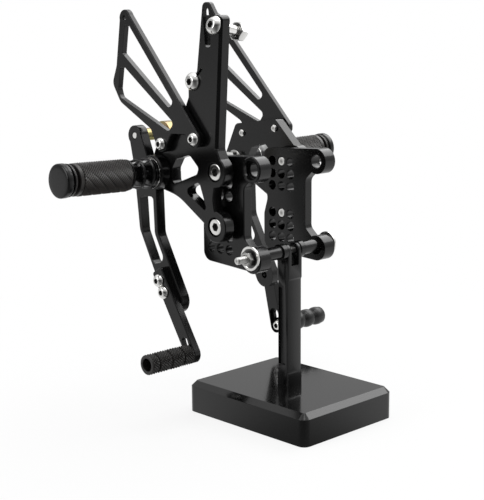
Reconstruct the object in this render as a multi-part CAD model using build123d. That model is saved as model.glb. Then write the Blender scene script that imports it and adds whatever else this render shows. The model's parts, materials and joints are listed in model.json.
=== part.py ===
"""Pair of adjustable motorcycle rear sets (brake side and gear side) clamped on their display stand.

Millimetres, +Z up. X runs across the motorcycle along the footpegs: the brake side is at -X and the
gear side at +X. -Y points to the front of the motorcycle. The origin is under the stand's base.
Every plate is an outline in Y and Z, given thickness along X, so places are (y, z) pairs, and a
distance along X is measured outwards from the mid plane between the two sides.
"""
import os

from build123d import *

os.makedirs("parts", exist_ok=True)

# Sides of the pair, by the direction of their outer face along X
SIDES = {"brake": -1, "gear": 1}

# Display stand
base_width = 101.5
base_length = 127.0
base_height = 25.0
base_chamfer = 4.2
base_corner = 6.0
post_width = 15.0
post_depth = 12.0
post_tenon = 8.0
post_flat_depth = 2.0
post_flat_end = 14.0
post_groove_width = 6.5
post_groove_depth = 2.0
fork_slot = 8.0
fork_depth = 11.0
collar_length = 4.5
collar_diameter = 13.0
stand_spacer = 10.4
stand_bolt_proud = 8.6

# Mounting bracket that bolts to the motorcycle frame
lower_boss_height = 130.0
boss_rise = 69.0
boss_diameter = 20.0
boss_length = 12.0
frame_hole = 10.5
frame_counterbore = 15.0
frame_counterbore_depth = 5.0
boss_chamfer = 0.8
bracket_inset = 30.0
bracket_thick = 8.0
bracket_neck = 11.5
bracket_waist = 4.0
bracket_margin = 9.5
grid_pitch = 10.0
grid_rows = 3
grid_columns = 3
grid_back = 28.0
lower_grid_rise = 4.0
upper_grid_drop = 3.0
plate_chamfer = 0.6

# Hanger plate that carries the footpeg
hanger_gap = 6.0
hanger_spacer = 12.0
hanger_thick = 9.0
lobe_radius = 12.0
hub_radius = 12.5
pivot_drop = 5.0
pivot_back = {"brake": 63.0, "gear": 68.0}
bolt_column = {"brake": 0, "gear": 1}
arm_length = 126.0
arm_bevel = 2.0
arm_tongue = 4.0
cylinder_bolt_pitch = 50.0
cylinder_grip = 13.0
cylinder_bolt_proud = 3.5
cylinder_droop = 11.4

# Heel guard
guard_gap = 1.5
guard_thick = 4.5
guard_reach = 119.4
guard_lobe = 6.5
guard_top_hole = 4.4
guard_spacer = 11.0
guard_screw_proud = 2.0
guard_lean = {"brake": 0.0, "gear": 2.5}
front_screw = (-47.0, 29.3)
rear_screw = (-9.0, 23.0)

# Lever and toe arm
lever_thick = 8.0
lever_hub = 14.0
lever_lobe = 8.0
lever_end = 10.4
lever_rail = 4.0
rod_hole = (19.5, 27.9)
lever_tip = (-24.0, -99.0)
toe_arm_start = (-14.2, -83.6)
toe_arm_lean = {"brake": 32.2, "gear": 12.9}
toe_arm_thick = 6.0
toe_arm_width = 12.0
toe_arm_offset = 1.6
toe_arm_top = 8.5
toe_slot = 10.4
toe_recess = 3.0
toe_recess_width = 10.6
toe_reach = 63.0
toe_screw_pitch = 10.2
toe_screw_head = 10.0
toe_shift = {"brake": 0.0, "gear": -1.6}

# Footpeg, toe pegs and pivot
journal_diameter = 12.0
bush_wall = 2.0
peg_flange = 25.0
peg_flange_length = 2.4
peg_stub = 22.0
peg_stub_length = {"brake": 24.0, "gear": 29.0}
peg_ridge = 24.0
peg_ridge_length = 2.2
peg_ridge_steps = (0.0, 0.33, 0.8)
peg_core = 15.0
peg_cant = {"brake": 1.5, "gear": 0.5}
peg_bolt_reach = 20.0
peg_bolt_head = 5.3
peg_washer = 16.0
grip_diameter = 25.4
grip_length = 53.5
grip_chamfer = 1.2
cap_neck = 20.5
cap_neck_length = 4.5
cap_diameter = 26.0
cap_length = 3.4
cap_floor = 2.0
cap_edge = 1.2
toe_peg_diameter = 16.0
toe_peg_length = 42.0
toe_peg_hollow = 10.0
toe_peg_floor = 12.0
toe_peg_grooves = 3
toe_groove_start = 9.2
toe_groove_pitch = 12.4
toe_groove_width = 1.6
toe_groove_depth = 0.9
rubber_diameter = 17.0
rubber_bulges = 4
rubber_bulge_length = 12.6
rubber_waist = 1.6
rubber_core = 8.0
rubber_flange = 14.0
rubber_end = 2.0

# Rod end on the brake lever
rod_eye_diameter = 19.0
rod_eye_width = 8.0
rod_ball = 13.0
rod_ball_width = 9.5
rod_shank = 7.4
rod_length = 36.0
rod_sleeve = 10.0
rod_eye_inset = 25.0

# Fasteners: thread, head across and head height
m8 = 8.0
m8_low_head = 13.0
m8_low_height = 5.0
m8_button_head = 14.0
m8_button_height = 4.4
m8_nut = 13.0
m8_nut_height = 6.5
m6 = 6.0
m6_button_head = 10.5
m6_button_height = 3.3
m6_nut = 10.0
m6_nut_height = 5.0
washer_thick = 1.6
washer_diameter = 19.0
counterbore_depth = 5.5

# Clearances
thread_clearance = 0.1
bolt_clearance = 0.2
head_clearance = 1.0
running_clearance = 0.05
side_clearance = 0.3
shim_thick = 1.0

# Distances from the mid plane, from the inside out
bracket_outer = bracket_inset + bracket_thick
boss_outer = bracket_inset + boss_length
hanger_inner = bracket_outer + hanger_gap
hanger_outer = hanger_inner + hanger_thick
guard_inner = hanger_outer + guard_gap
guard_outer = guard_inner + guard_thick
lever_inner = hanger_outer + shim_thick + side_clearance
lever_outer = lever_inner + lever_thick
peg_inner = lever_outer + side_clearance + shim_thick
toe_arm_outer = lever_outer + toe_arm_thick

# Heights of the frame bosses and of the grid rows that carry the hangers
upper_boss_height = lower_boss_height + boss_rise
stand_bolt_height = lower_boss_height + (frame_hole - m6) / 2
grid_height = (grid_rows - 1) * grid_pitch
lower_grid = lower_boss_height + lower_grid_rise
upper_grid = upper_boss_height - upper_grid_drop - grid_height


def move(place, back, rise):
    """A place measured from another one, towards the back and upwards."""
    return (place[0] + back, place[1] + rise)


def disc(place, diameter):
    return Pos(*place) * Circle(diameter / 2)


def hexagon(place, across):
    return Pos(*place) * RegularPolygon(across / 2, 6, major_radius=False)


def outline(*corners):
    """Closed outline through (place, corner radius) pairs."""
    places = [place for place, radius in corners]
    radii = [radius for place, radius in corners]
    return make_face(FilletPolyline(*places, radius=radii, close=True))


def plate(shape, side, inner, outer, edge=0.0):
    """A Y-Z outline made solid between two distances from the mid plane, its outer rim chamfered."""
    low, high = sorted((SIDES[side] * inner, SIDES[side] * outer))
    solid = extrude(Plane.YZ.offset(low) * shape, amount=high - low, dir=(1, 0, 0))
    if edge:
        shown = solid.faces().sort_by(Axis.X)[-1 if SIDES[side] > 0 else 0]
        solid = chamfer(shown.outer_wire().edges(), edge)
    return solid


def rod(place, diameter, side, inner, outer):
    return plate(disc(place, diameter), side, inner, outer)


def turned(place, side, profile):
    """A solid turned about an X axis from (distance, diameter) corners."""
    first, last = profile[0][0], profile[-1][0]
    corners = [(first, 0)] + [(along, across / 2) for along, across in profile] + [(last, 0)]
    blank = revolve(make_face(Polyline(*corners, close=True)), Axis.X, 360)
    turn = 180 if SIDES[side] < 0 else 0
    return Pos(0, *place) * Rot(0, 0, turn) * blank


def socket_screw(place, side, seat, tip, thread, head, height, key, dome=0.0):
    """Screw whose head stands on its seat and whose hexagon socket faces away from the tip."""
    out = 1 if seat > tip else -1
    top = seat + out * height
    corners = [(tip, thread), (seat, thread), (seat, head), (top, head - 2 * dome)]
    if dome:
        corners.insert(3, (top - out * dome, head))
    screw = turned(place, side, corners if out > 0 else corners[::-1])
    return screw - plate(hexagon(place, key), side, top - out * height * 0.6, top)


def m6_button(place, side, seat, tip):
    thread = m6 - 2 * thread_clearance
    return socket_screw(place, side, seat, tip, thread, m6_button_head, m6_button_height, 4.0, 1.6)


def washer(place, side, inner, thick, outside, hole):
    return plate(disc(place, outside) - disc(place, hole), side, inner, inner + thick)


def save(name, *solids):
    export_step(Compound(children=list(solids)), f"parts/{name}.step")


def grid(bottom):
    """Places of one block of adjusting holes."""
    rows = range(grid_rows)
    columns = range(grid_columns)
    return [(grid_back + grid_pitch * c, bottom + grid_pitch * r) for r in rows for c in columns]


def stations(side):
    """The places that locate one side's pieces: hanger bolts, pivot and heel guard screws."""
    bolt_y = grid_back + grid_pitch * bolt_column[side]
    upper = (bolt_y, upper_grid + grid_height)
    pivot = move(upper, pivot_back[side], -pivot_drop)
    return {
        "upper": upper,
        "lower": (bolt_y, lower_grid + grid_height),
        "pivot": pivot,
        "front": move(pivot, *front_screw),
        "rear": move(pivot, *rear_screw),
        "rod": move(pivot, *rod_hole),
        "end": move(pivot, *lever_tip),
    }


def build_stand():
    """Heavy base, forked post and the long bolt that clamps both brackets to the fork."""
    axis = (0, stand_bolt_height)
    fork_end = stand_bolt_height + post_depth / 2
    base = extrude(RectangleRounded(base_width, base_length, base_corner), amount=base_height)
    base = chamfer(base.faces().sort_by(Axis.Z)[-1].edges(), base_chamfer)
    pocket = Box(post_width, post_depth, post_tenon, align=(Align.CENTER, Align.CENTER, Align.MAX))
    save("stand_base", base - Pos(0, 0, base_height) * pocket)

    foot = base_height - post_tenon
    tall = Rectangle(post_depth, stand_bolt_height - foot, align=(Align.CENTER, Align.MIN))
    side_view = Pos(0, foot) * tall + disc(axis, post_depth)
    post = plate(side_view, "gear", -post_width / 2, post_width / 2)
    slot_floor = fork_end - post_depth / 2 - fork_depth
    slot = Box(fork_slot, post_depth, fork_end - slot_floor, align=(Align.CENTER, Align.CENTER, Align.MIN))
    post -= Pos(0, 0, slot_floor) * slot
    flat_low = base_height + post_flat_end
    flat_high = slot_floor - post_flat_end
    half = post_depth / 2
    for face in (1, -1):
        flat = Polyline(
            (face * half, flat_low - post_flat_depth * 2),
            (face * (half - post_flat_depth), flat_low),
            (face * (half - post_flat_depth), flat_high),
            (face * half, flat_high + post_flat_depth * 2),
            close=True,
        )
        post -= plate(make_face(flat), "gear", -post_width / 2, post_width / 2)
        groove = Pos(0, (flat_low + flat_high) / 2) * SlotOverall(
            flat_high - flat_low, post_groove_width, rotation=90
        )
        rim = post_width / 2
        post -= plate(groove, "gear", face * (rim - post_groove_depth), face * rim)
    hole = m6 + 2 * bolt_clearance
    rim = post_width / 2
    save("stand_post", post - rod(axis, hole, "gear", -rim, rim))
    collars = [washer(axis, side, rim, collar_length, collar_diameter, hole) for side in SIDES]
    save("stand_collars", *collars)
    reach = rim + collar_length
    gap = bracket_inset - reach
    save("stand_spacers", *[washer(axis, side, reach, gap, stand_spacer, hole) for side in SIDES])
    discs = [washer(axis, side, boss_outer, washer_thick, washer_diameter, hole) for side in SIDES]
    save("stand_bolt_washers", *discs)
    seat = boss_outer + washer_thick
    bolt_end = seat + m6_nut_height + stand_bolt_proud
    save("stand_bolt", m6_button(axis, "gear", seat, -bolt_end))
    nut = plate(hexagon(axis, m6_nut) - disc(axis, m6), "brake", seat, seat + m6_nut_height)
    save("stand_bolt_nut", nut)


def build_bracket(side):
    """Plate with two frame bosses and two blocks of adjusting holes."""
    low = (0, lower_boss_height)
    high = (0, upper_boss_height)
    radius = boss_diameter / 2
    back = grid_back + grid_pitch * (grid_columns - 1) + bracket_margin
    middle = (lower_grid + grid_height + upper_grid) / 2
    body = outline(
        (move(high, 0, radius), 0),
        ((back, upper_boss_height + radius - 3.5), 6.0),
        ((back, middle + 13.0), 8.0),
        ((back - bracket_waist, middle), 8.0),
        ((back, middle - 13.0), 8.0),
        ((back, lower_boss_height - radius + 3.0), 8.0),
        (move(low, 0, -radius), 0),
        (move(low, 1.5, 6.0), 0),
        (move(low, bracket_neck, 15.0), 6.0),
        (move(high, bracket_neck, -15.0), 6.0),
        (move(high, 1.5, -6.0), 0),
    )
    blocks = grid(lower_grid) + grid(upper_grid)
    bosses = disc(low, boss_diameter) + disc(high, boss_diameter)
    solid = plate(body + bosses, side, bracket_inset, bracket_outer, plate_chamfer)
    for place in (low, high):
        solid += plate(disc(place, boss_diameter), side, bracket_inset, boss_outer, boss_chamfer)
    holes = [rod(place, m8, side, bracket_inset, bracket_outer) for place in blocks]
    floor = boss_outer - frame_counterbore_depth
    for place in (low, high):
        holes.append(rod(place, frame_hole, side, bracket_inset, boss_outer))
        holes.append(rod(place, frame_counterbore, side, floor, boss_outer))
    save(f"{side}_bracket", solid - holes)


def arm_stations(upper):
    """Master cylinder bolts on the brake side's tall arm."""
    top = move(upper, -3.7, arm_length - 16.0)
    low = move(top, 0.515 * cylinder_bolt_pitch, -0.857 * cylinder_bolt_pitch)
    return top, low


def bolt_droop():
    """Cosine and sine of the angle at which the upper cylinder bolt hangs in its hole."""
    way = (Rot(0, cylinder_droop, 0) * Pos(1, 0, 0)).position
    return way.X, -way.Z


def bolt_lift():
    """How far the tilted head of the upper cylinder bolt stands off the arm."""
    cosine, sine = bolt_droop()
    return m8_button_head / 2 * sine - m8_button_height * (1 - cosine) + running_clearance


def build_hanger(side):
    """Webbed plate between the bracket and the footpeg, with the tall arm on the brake side."""
    at = stations(side)
    upper, lower, pivot = at["upper"], at["lower"], at["pivot"]
    front, rear = at["front"], at["rear"]
    middle = (upper[1] + lower[1]) / 2
    body = outline(
        (move(front, -0.5, 7.6), 4.0),
        (move(rear, 8.2, 7.4), 5.0),
        (move(pivot, 18.2, -9.4), hub_radius),
        (move(pivot, -21.0, -17.3), 45.0),
        (move(lower, 10.0, 0), 0),
        (move(lower, -1.0, 6.0), 0),
        ((upper[0] + 2.0, middle), 14.0),
        (move(upper, -1.0, -6.0), 0),
        (move(upper, -9.0, 4.0), 0),
    )
    body += disc(upper, 2 * lobe_radius) + disc(lower, 2 * lobe_radius)
    body -= outline(
        (move(pivot, -19.9, 11.8), 4.0),
        (move(pivot, -35.5, 15.9), 4.0),
        (move(pivot, -45.7, 6.8), 3.0),
        (move(pivot, -43.6, 1.6), 3.0),
        (move(pivot, -15.4, -8.8), 3.0),
        (move(pivot, -14.8, 3.8), 5.0),
    )
    body -= outline(
        (move(pivot, -28.1, -12.1), 3.5),
        (move(upper, 17.0, -8.7), 3.0),
        (move(lower, 7.7, 9.6), 2.0),
    )
    arm_holes = []
    if side == "brake":
        top, low = arm_stations(upper)
        arm_foot = move(upper, -3.0, 17.5)
        arm_head = move(upper, -9.7, arm_length - 9.5)
        body += outline(
            (move(upper, -9.5, 4.0), 0),
            (arm_foot, 6.0),
            (arm_head, 4.0),
            (move(upper, -3.0, arm_length - 9.5), 1.5),
            (move(upper, 3.5, arm_length), 4.0),
            (move(upper, 11.0, arm_length), 4.0),
            (move(low, -3.9, 7.7), 4.0),
            (move(low, 6.0, -4.0), 4.0),
            (move(low, 6.0, -12.0), 4.0),
            (move(low, 8.95, -17.85), 6.0),
            (move(front, 18.5, 5.0), 6.0),
            (move(front, 10.0, -4.0), 0),
        )
        body += disc(low, 13.0)
        slot = SlotCenterPoint(move(upper, 6.2, arm_length - 18.5), move(upper, 7.2, arm_length - 7.0), 6.5)
        body -= slot
        body -= SlotCenterPoint(move(low, -4.5, 4.5), move(low, -9.5, 9.5), 2.0)
        bolt = m8 + 2 * bolt_clearance
        cosine, sine = bolt_droop()
        fall = (m8_button_height + bolt_lift() + hanger_thick / 2) * sine / cosine
        half_fall = hanger_thick / 2 * sine / cosine
        centre = move(top, 0, -fall)
        hang = SlotCenterPoint(centre, move(centre, 0, half_fall), bolt)
        arm_holes = [
            plate(hang, side, hanger_inner, hanger_outer),
            rod(low, bolt, side, hanger_inner, hanger_outer),
        ]
    solid = plate(body, side, hanger_inner, hanger_outer, plate_chamfer)
    if side == "brake":
        face = SIDES[side] * hanger_outer
        edge = Line((face, *arm_foot), (face, *arm_head))
        cutter = Rectangle(arm_bevel * 2 ** 0.5, arm_bevel * 2 ** 0.5, rotation=45)
        solid -= sweep(Plane(edge @ 0, x_dir=(1, 0, 0), z_dir=edge % 0) * cutter, path=edge)
        above = Pos(*arm_head) * Rectangle(arm_length, arm_length, align=(Align.CENTER, Align.MIN))
        solid -= plate(above, side, hanger_inner, hanger_outer - arm_tongue)
    bolt_hole = m8 + 2 * bolt_clearance
    pocket = m8_low_head + 2 * head_clearance
    solid -= [rod(place, bolt_hole, side, hanger_inner, hanger_outer) for place in (upper, lower, pivot)]
    floor = hanger_outer - counterbore_depth
    solid -= [rod(place, pocket, side, floor, hanger_outer) for place in (upper, lower)]
    solid -= [rod(place, m6, side, hanger_inner, hanger_outer) for place in (front, rear)]
    solid -= arm_holes
    save(f"{side}_hanger", solid)

    spacers = [
        washer(place, side, bracket_outer, hanger_gap, hanger_spacer, bolt_hole) for place in (upper, lower)
    ]
    save(f"{side}_hanger_spacers", *spacers)
    thread = m8 - 2 * thread_clearance
    bolts = [
        socket_screw(place, side, floor, bracket_inset, thread, m8_low_head, m8_low_height, 6.0)
        for place in (upper, lower)
    ]
    save(f"{side}_hanger_bolts", *bolts)


def build_cylinder_bolts():
    """Button bolts and nuts that wait for the brake master cylinder, the upper one hanging loose."""
    places = arm_stations(stations("brake")["upper"])
    crown = Pos(SIDES["brake"] * (hanger_outer + m8_button_height), *places[0])
    lift = Pos(SIDES["brake"] * bolt_lift(), 0, 0)
    droop = lift * crown * Rot(0, cylinder_droop, 0) * crown.inverse()
    nut_inner = hanger_inner - cylinder_grip - m8_nut_height
    tip = nut_inner - cylinder_bolt_proud
    head = (m8 - 2 * thread_clearance, m8_button_head, m8_button_height, 5.0, 2.4)
    bolts = [socket_screw(place, "brake", hanger_outer, tip, *head) for place in places]
    save("brake_cylinder_bolts", droop * bolts[0], bolts[1])
    nuts = [
        plate(hexagon(place, m8_nut) - disc(place, m8), "brake", nut_inner, nut_inner + m8_nut_height)
        for place in places
    ]
    save("brake_cylinder_nuts", droop * nuts[0], nuts[1])


def build_guard(side):
    """Skeleton heel guard with two long windows, on two screws."""
    at = stations(side)
    pivot, front, rear = at["pivot"], at["front"], at["rear"]
    top = move(pivot, 32.5, guard_reach)
    body = outline(
        (move(top, -4.4, 4.4), 0),
        (move(front, -4.8, 4.2), 0),
        (move(front, 2.0, -5.0), 0),
        (move(front, 9.0, 2.6), 3.0),
        (move(rear, -12.0, 8.4), 3.0),
        (move(rear, -4.0, -4.0), 0),
        (move(rear, 5.0, -3.0), 0),
        (move(rear, 12.5, 11.0), 8.0),
        (move(pivot, 40.5, 53.2), 10.0),
        (move(pivot, 50.0, 68.0), 8.0),
        (move(pivot, 44.3, 82.0), 8.0),
        (move(top, 6.3, -1.6), 0),
    )
    body += disc(top, 2 * guard_lobe)
    body -= outline(
        (move(top, -0.1, -5.4), 1.5),
        (move(top, -5.5, -5.8), 1.5),
        (move(pivot, -24.3, 55.9), 3.0),
        (move(pivot, -19.0, 51.2), 3.0),
        (move(pivot, 36.0, 91.7), 2.0),
    )
    body -= outline(
        (move(pivot, 39.2, 80.8), 1.5),
        (move(pivot, 33.0, 80.6), 2.0),
        (move(pivot, -24.4, 40.3), 3.5),
        (move(pivot, -18.6, 33.0), 3.5),
        (move(pivot, 40.0, 57.0), 5.0),
        (move(pivot, 42.2, 63.5), 4.0),
    )
    body -= disc(top, guard_top_hole)
    body = Pos(*front) * Rot(0, 0, -guard_lean[side]) * Pos(-front[0], -front[1]) * body
    body += disc(front, 2 * guard_lobe) + disc(rear, 2 * guard_lobe)
    hole = m6 + 2 * bolt_clearance
    body -= disc(front, hole) + disc(rear, hole)
    save(f"{side}_heel_guard", plate(body, side, guard_inner, guard_outer, plate_chamfer))
    places = (front, rear)
    spacers = [washer(place, side, hanger_outer, guard_gap, guard_spacer, hole) for place in places]
    save(f"{side}_guard_spacers", *spacers)
    tip = hanger_inner - guard_screw_proud
    screws = [m6_button(place, side, guard_outer, tip) for place in places]
    save(f"{side}_guard_screws", *screws)


def toe_frame(side):
    """Start of the toe arm on the lever, and the angle that the arm leaves it at."""
    return move(stations(side)["pivot"], *toe_arm_start), Rot(0, 0, -90 - toe_arm_lean[side])


def toe_place(side, along, across=0.0):
    start, turn = toe_frame(side)
    reach = (turn * Pos(along, across)).position
    return move(start, reach.X, reach.Y)


def build_lever(side):
    """Slotted lever on the footpeg's journal, with the toe arm screwed to its lower end."""
    at = stations(side)
    pivot, upper, end = at["pivot"], at["rod"], at["end"]
    screws = [toe_place(side, 0), toe_place(side, toe_screw_pitch)]
    side_step = (0.884 * lever_end, -0.465 * lever_end)
    stem = [
        (move(pivot, 15.6, -47.0), 12.0),
        (move(end, *side_step), 0),
        (move(end, -side_step[0], -side_step[1]), 0),
        (move(pivot, -7.2, -47.5), 12.0),
        (move(pivot, -6.0, -11.0), 0),
        (move(pivot, 3.0, 9.0), 0),
    ]
    if side == "brake":
        ear = [(move(upper, -6.8, 4.0), 0), (move(upper, 7.6, 2.0), 0), (move(pivot, 21.5, 5.0), 30.0)]
        body = outline(*stem, *ear) + disc(upper, 2 * lever_lobe) - disc(upper, m6)
    else:
        body = outline(*stem, (move(pivot, lever_hub - 0.5, 3.0), 0))
    body += disc(pivot, 2 * lever_hub) + disc(end, 2 * lever_end)
    body -= outline(
        (move(pivot, 17.8 - lever_rail, -19.0), 3.0),
        (move(pivot, 15.9 - lever_rail, -47.6), 9.0),
        (move(pivot, 1.7 - lever_rail, -74.5), 5.0),
        (move(pivot, -18.1 + lever_rail, -67.8), 5.0),
        (move(pivot, -7.2 + lever_rail, -48.2), 9.0),
        (move(pivot, -6.0 + lever_rail, -19.0), 3.0),
    )
    bush = journal_diameter + 2 * running_clearance
    body -= disc(pivot, bush + 2 * bush_wall) + disc(end, m6)
    for place in screws:
        body -= disc(place, m6)
    save(f"{side}_lever", plate(body, side, lever_inner, lever_outer, plate_chamfer))
    save(f"{side}_lever_bush", washer(pivot, side, lever_inner, lever_thick, bush + 2 * bush_wall, bush))
    shims = [
        washer(pivot, side, inner, shim_thick, peg_flange, journal_diameter + 2 * thread_clearance)
        for inner in (hanger_outer, lever_outer + side_clearance)
    ]
    save(f"{side}_lever_shims", *shims)

    start, turn = toe_frame(side)
    toe = toe_place(side, toe_reach, toe_shift[side])
    edge = toe_arm_width / 2 + toe_arm_offset
    bar = outline(
        ((-toe_arm_top, -edge), 2.0),
        ((-toe_arm_top, toe_arm_width - edge), 2.0),
        ((toe_reach, toe_arm_width - edge), 0),
        ((toe_reach, -edge), 0),
    )
    arm = Pos(*start) * turn * bar + disc(toe, 2 * (edge + toe_shift[side]))
    slot_middle = (toe_reach - toe_slot / 2, (toe_shift[side] - toe_arm_offset) / 2)
    slot = slot_middle, (toe_reach, toe_shift[side])
    hole = m6 + 2 * bolt_clearance
    arm -= Pos(*start) * turn * SlotCenterPoint(*slot, hole)
    for place in screws:
        arm -= disc(place, hole)
    recess = Pos(*start) * turn * SlotCenterPoint(*slot, toe_recess_width)
    solid = plate(arm, side, lever_outer, toe_arm_outer, plate_chamfer)
    solid -= plate(recess, side, lever_outer, lever_outer + toe_recess)
    save(f"{side}_toe_arm", solid)
    tip = lever_inner + 0.8
    save(f"{side}_toe_arm_screws", *[m6_button(place, side, toe_arm_outer, tip) for place in screws])
    build_toe_peg(side, toe)


def build_toe_peg(side, toe):
    """Toe peg with the screw that holds it in the toe arm's slot."""
    head = (m6 - 2 * thread_clearance, toe_screw_head, toe_recess, 4.0, 1.0)
    seat = lever_outer + toe_recess
    save(f"{side}_toe_screw", socket_screw(toe, side, seat, toe_arm_outer + toe_peg_floor - 3.0, *head))
    if side == "brake":
        tip = toe_arm_outer + toe_peg_length
        peg = turned(toe, side, [(toe_arm_outer, toe_peg_diameter), (tip, toe_peg_diameter)])
        groove = disc(toe, toe_peg_diameter) - disc(toe, toe_peg_diameter - 2 * toe_groove_depth)
        for step in range(toe_peg_grooves):
            inner = toe_arm_outer + toe_groove_start + step * toe_groove_pitch
            peg -= plate(groove, side, inner, inner + toe_groove_width)
        peg -= rod(toe, toe_peg_hollow, side, toe_arm_outer + toe_peg_floor, tip)
    else:
        tip = toe_arm_outer + rubber_bulges * rubber_bulge_length
        flange = toe_arm_outer + rubber_end
        core_tip = tip - rubber_end
        peg = turned(toe, side, [
            (toe_arm_outer, rubber_flange),
            (flange, rubber_flange),
            (flange, rubber_core),
            (core_tip, rubber_core),
        ])
        profile = []
        for bulge in range(rubber_bulges):
            near = flange + bulge * (tip - flange) / rubber_bulges
            far = flange + (bulge + 1) * (tip - flange) / rubber_bulges
            crown = (far - near) * 0.3
            waist = rubber_diameter - 2 * rubber_waist
            profile += [(near, waist), (near + crown, rubber_diameter), (far - crown, rubber_diameter)]
        sleeve = turned(toe, side, profile + [(tip, rubber_diameter - 2 * rubber_waist)])
        save(f"{side}_toe_rubber", sleeve - rod(toe, rubber_core, side, flange, core_tip))
    peg -= rod(toe, m6, side, toe_arm_outer, toe_arm_outer + toe_peg_floor - 2.5)
    save(f"{side}_toe_peg", peg)


def build_peg(side):
    """Footpeg: turned spindle with the lever's journal, knurled grip, end cap and the bolt inside."""
    pivot = stations(side)["pivot"]
    flange_end = peg_inner + peg_flange_length
    stub_length = peg_stub_length[side]
    stub_end = flange_end + stub_length
    grip_end = stub_end + grip_length
    cap_start = grip_end + cap_neck_length
    cap_end = cap_start + cap_length
    core_end = cap_end - cap_floor
    bend = Pos(SIDES[side] * peg_inner, *pivot)
    cant = bend * Rot(0, -SIDES[side] * peg_cant[side], 0) * bend.inverse()
    stub = turned(pivot, side, [
        (peg_inner, peg_stub),
        (stub_end, peg_stub),
        (stub_end, peg_core),
        (core_end, peg_core),
    ])
    for step in peg_ridge_steps:
        inner = flange_end + step * stub_length
        stub += rod(pivot, peg_ridge, side, inner, inner + peg_ridge_length)
    spindle = cant * stub + turned(pivot, side, [
        (hanger_outer, journal_diameter),
        (peg_inner, journal_diameter),
        (peg_inner, peg_flange),
        (flange_end, peg_flange),
    ])
    spindle -= plate(disc(pivot, peg_flange), side, lever_outer, peg_inner) - rod(
        pivot, journal_diameter, side, lever_outer, peg_inner
    )
    bolt_tip = stub_end + peg_bolt_reach
    spindle -= rod(pivot, m8, side, hanger_outer, bolt_tip + 1.0)
    save(f"{side}_peg_spindle", spindle)
    grip = turned(pivot, side, [
        (stub_end, grip_diameter - 2 * grip_chamfer),
        (stub_end + grip_chamfer, grip_diameter),
        (grip_end - grip_chamfer, grip_diameter),
        (grip_end, grip_diameter - 2 * grip_chamfer),
    ])
    save(f"{side}_peg_grip", cant * (grip - rod(pivot, peg_core, side, stub_end, grip_end)))
    cap = turned(pivot, side, [
        (grip_end, cap_neck),
        (cap_start, cap_neck),
        (cap_start, cap_diameter),
        (cap_end - cap_edge, cap_diameter),
        (cap_end, cap_diameter - 2 * cap_edge),
    ])
    save(f"{side}_peg_cap", cant * (cap - rod(pivot, peg_core, side, grip_end, core_end)))
    seat = hanger_inner - washer_thick
    save(f"{side}_peg_washer", washer(pivot, side, seat, washer_thick, peg_washer, m8 + 2 * bolt_clearance))
    head = plate(hexagon(pivot, m8_nut), side, seat - peg_bolt_head, seat)
    shank = rod(pivot, m8 - 2 * thread_clearance, side, seat - 1.0, bolt_tip)
    save(f"{side}_peg_bolt", head + shank)


def build_rod_end():
    """Spherical rod end hanging from the brake lever's upper hole, ready for the push rod."""
    side = "brake"
    place = stations(side)["rod"]
    middle = rod_eye_inset + rod_eye_width / 2
    centre = Pos(SIDES[side] * middle, *place)
    section = Rectangle(rod_eye_width, rod_eye_diameter / 2, align=(Align.CENTER, Align.MIN))
    section -= Circle(rod_ball / 2 + running_clearance)
    eye = revolve(section, Axis.X, 360)
    reach = rod_length - rod_ball * 0.6
    shank = Cylinder(rod_shank / 2, reach, align=(Align.CENTER, Align.CENTER, Align.MIN))
    flats = extrude(RegularPolygon(rod_shank * 0.6, 6, major_radius=False), amount=rod_shank)
    save("brake_rod_end", centre * (eye + Pos(0, 0, -rod_length) * (shank + flats)))
    ball_inner = middle - rod_ball_width / 2
    ball_outer = middle + rod_ball_width / 2
    ball = (centre * Sphere(rod_ball / 2)) & rod(place, rod_ball, side, ball_inner, ball_outer)
    save("brake_rod_ball", ball - rod(place, m6, side, ball_inner, ball_outer))
    save("brake_rod_sleeve", washer(place, side, ball_outer, lever_inner - ball_outer, rod_sleeve, m6))
    head = plate(hexagon(place, 10.0), side, ball_inner - 4.0, ball_inner)
    shank = rod(place, m6 - 2 * thread_clearance, side, ball_inner - 1.0, lever_outer - 2.0)
    save("brake_rod_bolt", head + shank)


build_stand()
for name in SIDES:
    build_bracket(name)
    build_hanger(name)
    build_guard(name)
    build_lever(name)
    build_peg(name)
build_cylinder_bolts()
build_rod_end()
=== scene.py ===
"""Motorcycle rear sets on their display stand: knurled pegs, fasteners, finishes and the studio."""
import json
from math import cos, pi, radians, sin, sqrt

import bmesh
import bpy
from bpy.props import FloatProperty, FloatVectorProperty, IntProperty, PointerProperty
from mathutils import Matrix, Vector


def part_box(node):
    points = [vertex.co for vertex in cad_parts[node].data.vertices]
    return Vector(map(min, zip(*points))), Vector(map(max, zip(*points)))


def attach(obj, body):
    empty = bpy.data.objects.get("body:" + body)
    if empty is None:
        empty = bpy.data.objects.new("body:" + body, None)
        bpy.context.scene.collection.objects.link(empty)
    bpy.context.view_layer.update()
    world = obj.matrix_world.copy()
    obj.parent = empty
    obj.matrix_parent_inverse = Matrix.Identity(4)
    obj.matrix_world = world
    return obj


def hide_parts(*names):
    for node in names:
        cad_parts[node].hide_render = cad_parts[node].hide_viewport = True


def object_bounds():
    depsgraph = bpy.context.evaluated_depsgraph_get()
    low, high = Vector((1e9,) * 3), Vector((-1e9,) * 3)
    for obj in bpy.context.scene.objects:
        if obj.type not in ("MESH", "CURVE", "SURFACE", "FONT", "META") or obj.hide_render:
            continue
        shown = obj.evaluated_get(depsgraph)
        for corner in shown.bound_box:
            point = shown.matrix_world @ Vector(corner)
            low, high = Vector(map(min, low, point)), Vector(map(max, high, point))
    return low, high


bl_info = {
    "name": "Rear Set Footrests",
    "version": (1, 0, 0),
    "blender": (4, 5, 0),
    "location": "View3D > Sidebar > Rear Sets",
    "description": "Dresses a pair of motorcycle rear sets with knurled pegs, fasteners and finishes",
    "category": "Object",
}

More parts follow.
